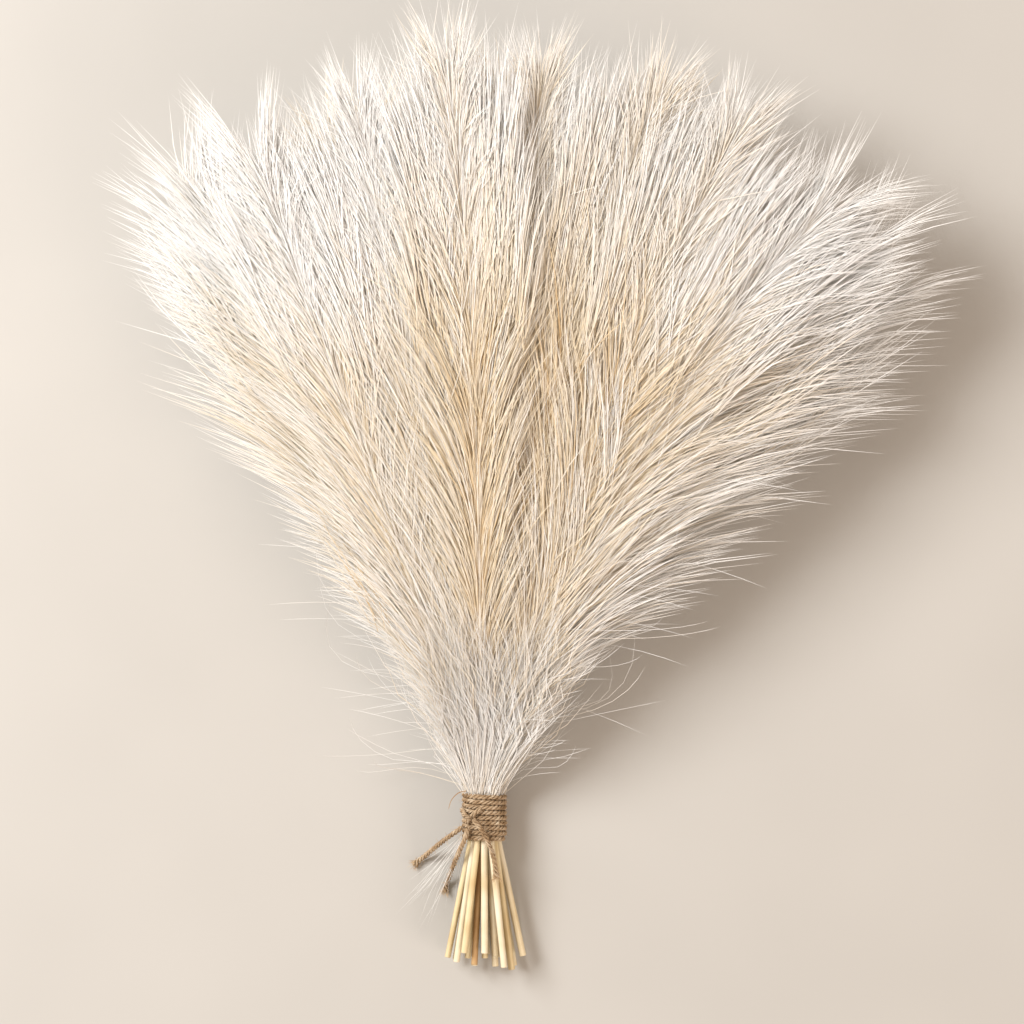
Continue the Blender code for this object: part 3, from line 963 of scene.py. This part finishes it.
def vane(stalk, rng, locks, hairs, thick, lean, tint):
    """The feather's two sides: L = 90 mm x youth x taper, d = 29 degrees x opening.

    youth grows from 0.32 to 1 with the foot's distance from the binding. Over the last
    0.4 of the plume, taper falls. The opening grows from 0.62 to 1 over 95 mm, and closes
    by 0.26 at the tip.
    """
    full_at, taper_by, stop = OUTER_VANE if stalk.outer else INNER_VANE
    if stalk.hidden:
        locks, hairs = int(locks * HIDDEN_LOCKS), int(hairs * HIDDEN_HAIRS)
    count = locks * hairs
    low, high = VANE_START, stalk.reach - RACHIS_SHORT * stop
    share = (np.arange(locks) + rng.random(locks)) / locks
    foot = low + (high - low) * share
    side = np.where(np.arange(locks) % 2, 1.0, -1.0)
    angle = np.radians(rng.uniform(*lean, locks))
    youth = YOUNG_LENGTH + GROWTH * smooth(foot / full_at)
    taper = 1 - taper_by * smooth((share - TAPER_FROM) / TAPER_SPAN)
    length = HAIR_LENGTH * youth * taper * rng.uniform(*LOCK_LENGTH, locks)
    opening = FOOT_OPENING + OPENS_BY * smooth(foot / OPEN_AT)
    opening *= 1 - CLOSES_BY * smooth((share - CLOSE_FROM) / CLOSE_SPAN)
    d = DIVERGENCE * stalk.spread * opening * rng.uniform(*LOCK_OPENING, locks)
    lock_tint = LOCK_TINT * rng.standard_normal(locks)
    # Hairs that stand up from the rachis are painted paler and those under it darker: painted
    # light and shade.
    shade = tint + stalk.paler + lock_tint + PAINTED_TOP_LIGHT * np.sin(angle)
    foot, side, angle, length, d, shade = (
        np.repeat(values, hairs) for values in (foot, side, angle, length, d, shade)
    )
    foot = foot + rng.uniform(-LOCK_STRETCH, LOCK_STRETCH, count) * (high - low) / locks
    foot = np.clip(foot, LOWEST_FOOT, high)
    length = length * rng.uniform(*SHORTER_HAIRS, count)
    stray = rng.random(count) < ASTRAY
    scatter = np.radians(np.where(stray, ASTRAY_LEAN, USUAL_LEAN))
    d = d + scatter * rng.standard_normal(count)
    round_scatter = ROUND_SCATTER * rng.standard_normal(count)
    angle = angle + round_scatter + np.where(stray, ASTRAY_RISE, 0)
    bow = rng.normal(0, VANE_BOW, count)
    thick = thick * rng.uniform(*THICK_VARIES, count)
    tints = shade + tone(stalk, foot) + HAIR_TINT * rng.standard_normal(count)
    return lay_hairs(stalk, foot, length, d, angle, side, bow, thick, tints, FINE_BEND, SAG)


# %% [markdown]
# ## Hairs over the rachis and by the twine
#
# Short hairs lie forward over the rachis and hide it, and long ones veil the gap to the
# next plume. At the neck, hairs start under the twine's last turn, round the stem, where
# it holds them. One function draws the chances of all three: lengths in millimetres,
# then leans off the rachis and places round it in degrees.

# %% Crest, veil and neck
CREST = dict(length=(20, 42), lean=(7, 19), place=(5, 88), bow=0.03, thick=0.17 * MM)
VEIL = dict(length=(62, 92), lean=(7, 24), place=(0, 26), bow=0.03, thick=0.19 * MM)
NECK = dict(length=(24, 66), place=(15, 95), bow=0.11, thick=0.18 * MM, varies=(0.7, 1.2))
NECK_LEAN, OUTER_NECK_LEAN = (-7, 16), (-7, 25)
CREST_START, CREST_STOP = 15 * MM, 25 * MM
VEIL_START, VEIL_STOP = 35 * MM, 78 * MM
NECK_SPAN, NECK_UNDER, NECK_CROWDED = 43, 3, 1.7
NECK_ASIDE = (3, 4)
NECK_DARKER, NECK_FADE = 0.28, 26 * MM


def chances(rng, count, length, lean, place, bow, thick, varies=THICK_VARIES):
    """Lengths, leans, angles round the rachis, sides, bows and radii, one of each a hair."""
    lengths = rng.uniform(*length, count) * MM
    leans = np.radians(rng.uniform(*lean, count))
    angles = np.radians(rng.uniform(*place, count))
    sides = rng.choice([-1.0, 1.0], count)
    bows = rng.normal(0, bow, count)
    return lengths, leans, angles, sides, bows, thick * rng.uniform(*varies, count)


def crest(stalk, rng, count, tint):
    """Short hairs that lie forward over the rachis and hide it."""
    foot = rng.uniform(CREST_START, stalk.reach - CREST_STOP, count)
    shape = chances(rng, count, **CREST)
    tints = tint + stalk.paler + tone(stalk, foot) + 0.09 * rng.standard_normal(count)
    return lay_hairs(stalk, foot, *shape, tints, BEND)


def veil(stalk, rng, count, tint):
    """Long, nearly straight hairs that lie over the gap to the next plume."""
    foot = rng.uniform(VEIL_START, stalk.reach - VEIL_STOP, count)
    shape = chances(rng, count, **VEIL)
    tints = tint + 0.5 * stalk.paler + tone(stalk, foot) + 0.12 * rng.standard_normal(count)
    return lay_hairs(stalk, foot, *shape, tints, FINE_BEND)


def neck(stalk, rng, count, tint):
    """Hairs that the twine holds, darker further up: foot = 43 mm x random^1.7 - 3 mm."""
    foot = (NECK_SPAN * rng.random(count) ** NECK_CROWDED - NECK_UNDER) * MM
    lean = OUTER_NECK_LEAN if stalk.outer else NECK_LEAN
    shape = chances(rng, count, lean=lean, **NECK)
    darker = NECK_DARKER * smooth(foot / NECK_FADE)
    tints = tint - darker + 0.12 * rng.standard_normal(count)
    aside = rng.uniform(*NECK_ASIDE, count) * MM
    return lay_hairs(stalk, foot, *shape, tints, BEND, 0.0, aside)


# %% [markdown]
# ## Hairs at the tips
#
# Tips of the side branches all point outward and close the gaps between plumes, so that
# the fan ends in one soft arc. Steep hairs on the rachis's last stretch make the plume's
# own pointed end. A few thin hairs stand off the outermost plumes.

# %% Tuft, brush and strays
TUFT_LENGTH, BRUSH_LENGTH, STRAY_LENGTH = (42, 70), (28, 50), (30, 74)
TUFT_SHORT = 34 * MM
TUFT_ANGLE = (4, 24)
TUFT_LEAN, TUFT_OPENS, TUFT_SCATTER, TUFT_WIDTH = 2, 11, 4.5, 26 * MM
TUFT_THICK, TUFT_VARIES = 0.22 * MM, (0.75, 1.15)
TUFT_DARKER = 0.26
EVEN_SIDES, INNER_SIDE = 0.5, 0.72
OUTER_TUFT_SHARE, OUTER_TUFT_WIDTH, OUTER_TUFT_SPAN = 0.7, 22 * MM, 65 * MM
BRUSH_REACH = 70 * MM
BRUSH_LEAN, BRUSH_SCATTER = 2, 19
BRUSH_ANGLE = (-0.4, 1.2)
BRUSH_VARIES = (0.7, 1.1)
STRAY_SPAN = 190 * MM
STRAY_LEAN, STRAY_ANGLE = (12, 70), (-20, 70)
STRAY_BOW, STRAY_TINT = 0.24, 0.8
STRAY_THICK, STRAY_VARIES = 0.085 * MM, (0.8, 1.2)


def tuft(stalk, rng, count, tint, width, span):
    """Hairs that start beside the rachis: d = 2 + 11 aside / 26 mm, in degrees.

    They stand within a width of the rachis, over the last span of it, and are darker
    further back. A plume at the edge of the fan has fewer, and most of them on its inner
    side.
    """
    inward = EVEN_SIDES
    if stalk.outer:
        count, inward = int(OUTER_TUFT_SHARE * count), INNER_SIDE
        width, span = OUTER_TUFT_WIDTH, OUTER_TUFT_SPAN
    aside = width * rng.random(count) ** 0.8
    back = rng.random(count)
    foot = stalk.reach - TUFT_SHORT - span * back - 0.5 * aside
    length = rng.uniform(*TUFT_LENGTH, count) * MM
    scatter = TUFT_SCATTER * rng.standard_normal(count)
    d = np.radians(TUFT_LEAN + TUFT_OPENS * aside / TUFT_WIDTH + scatter)
    angle = np.radians(rng.uniform(*TUFT_ANGLE, count))
    outward = 1 if stalk.heading > 0 else -1
    side = np.where(rng.random(count) < inward, -1.0, 1.0) * outward
    bow = rng.normal(0, 0.03, count)
    thick = TUFT_THICK * rng.uniform(*TUFT_VARIES, count)
    darker = TUFT_DARKER * back
    tints = tint + 0.7 * stalk.paler - darker + 0.08 * rng.standard_normal(count)
    shape = (length, d, angle, side, bow, thick)
    return lay_hairs(stalk, foot, *shape, tints, FINE_BEND, 0.0, aside)


def brush(stalk, rng, count, thick, tint):
    """The pointed end of a plume: steep hairs on all sides of the rachis's last stretch."""
    foot = stalk.reach - RACHIS_SHORT - BRUSH_REACH * rng.random(count)
    length = rng.uniform(*BRUSH_LENGTH, count) * MM
    d = np.radians(np.abs(rng.normal(0, BRUSH_SCATTER, count)) + BRUSH_LEAN)
    angle = rng.uniform(*BRUSH_ANGLE, count)
    side = rng.choice([-1.0, 1.0], count)
    bow = rng.normal(0, 0.04, count)
    thick = thick * rng.uniform(*BRUSH_VARIES, count)
    tints = tint + stalk.paler + 0.08 * rng.standard_normal(count)
    return lay_hairs(stalk, foot, length, d, angle, side, bow, thick, tints, BEND)


def strays(stalk, rng, count):
    """Thin long hairs that stand off the outermost plumes and curl, most of them low down."""
    foot = STRAY_SPAN * rng.random(count) ** 1.6
    length = rng.uniform(*STRAY_LENGTH, count) * MM
    d = np.radians(rng.uniform(*STRAY_LEAN, count))
    angle = np.radians(rng.uniform(*STRAY_ANGLE, count))
    side = np.full(count, 1.0 if stalk.heading > 0 else -1.0)
    bow = rng.normal(0, STRAY_BOW, count)
    thick = STRAY_THICK * rng.uniform(*STRAY_VARIES, count)
    tints = STRAY_TINT + 0.12 * rng.standard_normal(count)
    return lay_hairs(stalk, foot, length, d, angle, side, bow, thick, tints, LONG_BEND)


# %% [markdown]
# ## The plumes
#
# A plume is its rachis and all its kinds of hair in one piece. Hair of the upper layer is
# the finest, because it is seen from nearest. Every plume has its own seed.

# %% Rachis and plumes
RACHIS_SIDES, RACHIS_RINGS = 6, 40
RACHIS_FOOT, RACHIS_THINS = 0.9, 0.72
RACHIS_TINT = 0.66


def rachis(stalk):
    """The plume's spine: radius = stem radius (0.9 - 0.72 share^0.45), with share 0 to 1."""
    s = np.linspace(stalk.start, stalk.reach - RACHIS_SHORT, RACHIS_RINGS)
    path = path_of(stalk.place(s))
    share = np.linspace(0, 1, len(s))
    radii = STEM_RADIUS * (RACHIS_FOOT - RACHIS_THINS * share**0.45)
    at, _, side, over = read_path(path, path[1], UP)
    corners, triangles, places = tube(at, side, over, radii, RACHIS_SIDES, path[1])
    tint = RACHIS_TINT + 0.02 * np.sin(places[:, :1] * 4000)
    return corners, triangles, np.concatenate([tint, places[:, 1:] * 1.2 + 0.2], axis=1)


# The upper layer's hair has a paler tint than the layers under it: painted shade on the lower
# layers.
HABIT = {
    "under": dict(locks=54, hairs=21, thick=0.27 * MM, lean=(-20, 40), tint=0.3),
    "middle": dict(locks=58, hairs=24, thick=0.23 * MM, lean=(0, 60), tint=0.3),
    "upper": dict(locks=88, hairs=29, thick=0.19 * MM, lean=(-50, 14), tint=0.4),
}
NECK_HAIRS = {"under": 200, "middle": 220, "upper": 560}
BRUSH_HAIRS = {"under": 220, "middle": 300, "upper": 460}
# Tufts are tinted palest in the upper layer and darkest in the middle one: painted light and
# shade.
TUFTS = {
    "under": dict(count=360, tint=0.66, width=24 * MM, span=70 * MM),
    "middle": dict(count=720, tint=0.62, width=34 * MM, span=180 * MM),
    "upper": dict(count=900, tint=0.84, width=26 * MM, span=85 * MM),
}
STRAY_HAIRS, CREST_HAIRS, VEIL_HAIRS = 28, 380, 520
BRUSH_THICK = 0.2 * MM
BRUSH_TINT, NECK_TINT, CREST_TINT, VEIL_TINT = 0.72, 0.86, 0.46, 0.44
FIRST_SEED = 100

for number, stalk in enumerate(stalks):
    rng = np.random.default_rng(FIRST_SEED + number)
    parts = [rachis(stalk), vane(stalk, rng, **HABIT[stalk.layer])]
    parts.append(brush(stalk, rng, BRUSH_HAIRS[stalk.layer], BRUSH_THICK, BRUSH_TINT))
    parts.append(tuft(stalk, rng, **TUFTS[stalk.layer]))
    parts.append(neck(stalk, rng, NECK_HAIRS[stalk.layer], NECK_TINT))
    if stalk.outer:
        parts.append(strays(stalk, rng, STRAY_HAIRS))
    if stalk.layer == "upper":
        parts.append(crest(stalk, rng, CREST_HAIRS, CREST_TINT))
        parts.append(veil(stalk, rng, VEIL_HAIRS, VEIL_TINT))
    plume = put_mesh(
        "silky_plume_" + stalk.name, join(parts), [silk], rounded=False
    )
    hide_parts("plume_" + stalk.name)
print("plumes:", len(stalks), "with at most", max(triangles_made.values()), "triangles each")

# %% [markdown]
# ## Loose fibres and wisps
#
# Jute is never smooth. Short fibres stand out of the binding and out of its loose ends,
# one long fibre curls off the top turn, and each cut end has a small brush. A few hairs of
# the lowest plumes have slipped back under the binding, and lie below it on the table.

# %% Fibres on a strand
FIBRE_BEND = np.array([0, 0.3, 0.65, 1])
FIBRE_GAP = 0.2 * MM
WRAP_FIBRES, TAIL_FIBRES, CUT_FIBRES = 700, 60, 34
FIBRE_RADIUS, CUT_RADIUS = 0.045 * MM, 0.07 * MM
FIBRE_LENGTH, CUT_LENGTH = (1.2, 3.4), (2.0, 4.2)
FIBRE_CURL, CUT_CURL = 0.35, 0.25
FIBRE_LEAN, CUT_LEAN = (0.25, 1.0), 0.55
CUT_PLACE = (0.93, 0.99)
FIBRE_MESS = 0.3


def fibres(starts, headings, lengths, curl, radius, tints, rng):
    """Bent needles: start + length t heading + length curl t^2 (a random way across)."""
    sideways = unit(np.cross(headings, unit(rng.standard_normal(headings.shape))))
    t = FIBRE_BEND[None, :, None]
    bent = curl * t * t * sideways[:, None]
    paths = starts[:, None] + lengths[:, None, None] * (t * headings[:, None] + bent)
    paths[..., 2] = np.maximum(paths[..., 2], FIBRE_GAP)
    return needles(paths, np.full((len(starts), len(FIBRE_BEND) - 1), radius), tints)


def beside_path(points, places, rng):
    """Spots just under a strand's surface, with the ways along it and out of it."""
    path = path_of(points)
    at, heading, side, over = read_path(path, places * path[1][-1], UP)
    turn = (2 * np.pi * rng.random(len(places)))[:, None]
    out = side * np.cos(turn) + over * np.sin(turn)
    return at + 0.95 * TWINE_RADIUS * out, heading, out


fibre_rng = np.random.default_rng(8)
loose = []
hairy_paths = [(wrap_path, WRAP_FIBRES), *((path, TAIL_FIBRES) for path in tail_paths.values())]
for points, count in hairy_paths:
    spots, along, out = beside_path(points, fibre_rng.random(count), fibre_rng)
    lean = fibre_rng.uniform(*FIBRE_LEAN, count)[:, None]
    way = fibre_rng.choice([-1.0, 1.0], count)[:, None]
    mess = FIBRE_MESS * fibre_rng.standard_normal(out.shape)
    headings = unit(way * along + lean * out + mess)
    lengths = fibre_rng.uniform(*FIBRE_LENGTH, count) * MM
    tints = fibre_rng.random(count)
    loose.append(fibres(spots, headings, lengths, FIBRE_CURL, FIBRE_RADIUS, tints, fibre_rng))
for points in tail_paths.values():
    places = fibre_rng.uniform(*CUT_PLACE, CUT_FIBRES)
    spots, along, out = beside_path(points, places, fibre_rng)
    headings = unit(along + CUT_LEAN * out)
    lengths = fibre_rng.uniform(*CUT_LENGTH, CUT_FIBRES) * MM
    tints = fibre_rng.uniform(0.3, 1, CUT_FIBRES)
    loose.append(fibres(spots, headings, lengths, CUT_CURL, CUT_RADIUS, tints, fibre_rng))

# %% [markdown]
# The curled fibre is thicker than the others, and thins to its tip. Its points are in
# millimetres from the spot on the table under the binding's middle.

# %% The curled fibre
CURLED_FIBRE = (
    (-8.4, 12.3, 21.5),
    (-12.2, 11.2, 20.6),
    (-15.4, 7.8, 19.4),
    (-16.9, 3.2, 18.6),
)
CURLED_FOOT, CURLED_TIP, CURLED_TINT = 0.3, 0.16, 0.15

curl_points = smooth_route(np.array(CURLED_FIBRE) * MM + on_table, 5)[None]
curl_radii = np.linspace(CURLED_FOOT, CURLED_TIP, curl_points.shape[1] - 1)[None] * MM
loose.append(needles(curl_points, curl_radii, np.array([CURLED_TINT])))
put_mesh("loose_jute_fibres", join(loose), [jute_fibre], rounded=False)
print("triangles in loose jute fibres:", triangles_made["loose_jute_fibres"])

# %% [markdown]
# The wisps start under the left of the binding and fan out towards the cut ends.

# %% Wisps
WISPS = 24
WISP_LENGTH = (30, 52)
WISP_FAN = (8, 48)
WISP_FALL = 0.3
WISP_SPREAD = (1.5, 2.5, 3)
WISP_CURL = 0.2
WISP_RADIUS = 0.07 * MM

low_left = on_table + np.array([-9.5, -9.0, 15.0]) * MM
starts = low_left + fibre_rng.uniform(-1, 1, (WISPS, 3)) * MM * WISP_SPREAD
turn = np.radians(fibre_rng.uniform(*WISP_FAN, WISPS))
headings = unit(np.stack([-np.sin(turn), -np.cos(turn), np.full(WISPS, -WISP_FALL)], axis=1))
lengths = fibre_rng.uniform(*WISP_LENGTH, WISPS) * MM
wisp_tints = fibre_rng.uniform(0.8, 1, WISPS)
wisps = fibres(starts, headings, lengths, WISP_CURL, WISP_RADIUS, wisp_tints, fibre_rng)
put_mesh("silky_wisps", wisps, [silk], rounded=False)
print("wisps:", WISPS)

# %% [markdown]
# ## The table and the light
#
# The bundle lies on a smooth beige board. One large soft light stands to its left, a
# little towards the tips. A weaker, warmer one low on the right is the reflector, and a
# pale warm room fills the shadows.

# %% Board
def board_finish():
    """Painted board: pale beige, matt, with faint clouds some 14 cm wide."""
    material, tree, shader = new_material("painted_board", Roughness=0.9, Specular_IOR_Level=0.1)
    place = add_node(tree, "TexCoord")
    clouds = add_node(
        tree, "TexNoise", {"Vector": place.outputs["Object"], "Scale": 7.0, "Detail": 2.0}
    )
    ramp = add_node(tree, "ValToRGB", {"Fac": clouds.outputs["Fac"]})
    set_stops(ramp, [(0.3, "#C4C3BF"), (0.7, "#C9C8C4")])
    tree.links.new(ramp.outputs["Color"], shader.inputs["Base Color"])
    return material


BOARD_HALF = 3000 * MM
BOARD_TOP = -0.05 * MM
board_mesh = bpy.data.meshes.new("beige_board")
x, y = np.meshgrid([-BOARD_HALF, BOARD_HALF], [-BOARD_HALF, BOARD_HALF])
board_corners = np.stack([x.ravel(), y.ravel(), np.full(4, BOARD_TOP)], axis=-1)
board_mesh.from_pydata(board_corners.tolist(), [], [(0, 1, 3, 2)])
board_mesh.materials.append(board_finish())
board = bpy.data.objects.new("beige_board", board_mesh)
bpy.context.scene.collection.objects.link(board)


# %% [markdown]
# Two rounds of light between hair and hair are enough, and nothing here mirrors, so the
# renderer follows no mirror rays.

# %% Lights and room
SKY_STRENGTH = 0.50


def soft_light(name, place, size, power, colour):
    """A square lamp at a place from the middle of the view, turned towards the bundle."""
    lamp_data = bpy.data.lights.new(name, "AREA")
    lamp_data.shape, lamp_data.size = "SQUARE", size
    lamp_data.energy = power
    lamp_data.color = linear(colour)
    lamp = bpy.data.objects.new(name, lamp_data)
    lamp.location = Vector(view_middle) + Vector(place)
    lamp.rotation_euler = (-Vector(place)).to_track_quat("-Z", "Y").to_euler()
    bpy.context.scene.collection.objects.link(lamp)


soft_light("key_softbox", place=(-1.25, 0.66, 1.38), size=0.9, power=45.4, colour="#FFFDFB")
soft_light("reflector", place=(1.9, -1.4, 1.1), size=1.2, power=27.0, colour="#FFEEE0")

world = bpy.data.worlds.new("pale_room")
world.use_nodes = True
sky = world.node_tree.nodes["Background"]
sky.inputs["Color"].default_value = (*linear("#FFE7D2"), 1)
sky.inputs["Strength"].default_value = SKY_STRENGTH
bpy.context.scene.world = world
bpy.context.scene.view_settings.view_transform = "Standard"
bpy.context.scene.cycles.diffuse_bounces = 2
bpy.context.scene.cycles.glossy_bounces = 0

# %% [markdown]
# ## Finish
#
# The number of triangles that the scene adds is printed. The dressed bundle may stand
# only a little proud of the CAD model's box.

# %% Triangle count
print("triangles added:", sum(triangles_made.values()))
